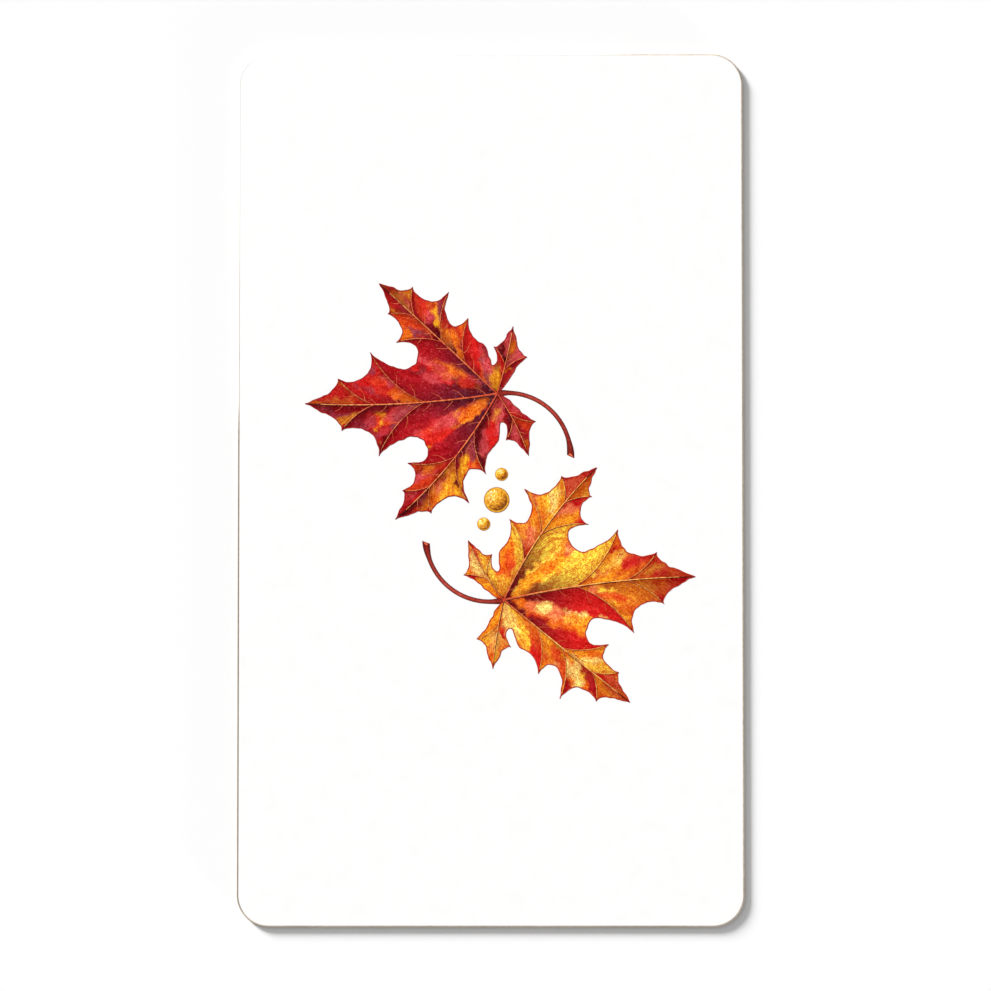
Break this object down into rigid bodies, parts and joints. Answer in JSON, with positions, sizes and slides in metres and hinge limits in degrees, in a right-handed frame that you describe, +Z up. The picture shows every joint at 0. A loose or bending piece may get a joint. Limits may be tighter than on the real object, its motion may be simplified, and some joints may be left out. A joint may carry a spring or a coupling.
{
  "type": "printed card",
  "caption": "Flat tarot-size card of stiff white board with rounded corners and a printed upper face, lying flat.",
  "frame": {"origin": "middle of the lower face, which the card lies on", "axes": "+X across the card, +Y along its length towards the top of the picture, +Z up out of the printed face"},
  "size_m": [0.0698, 0.1206, 0.0004],
  "materials": {
    "board": "smooth coated white board with a raw, slightly tan cut edge"
  },
  "bodies": {
    "root": {"card": "board"}
  },
  "joints": []
}
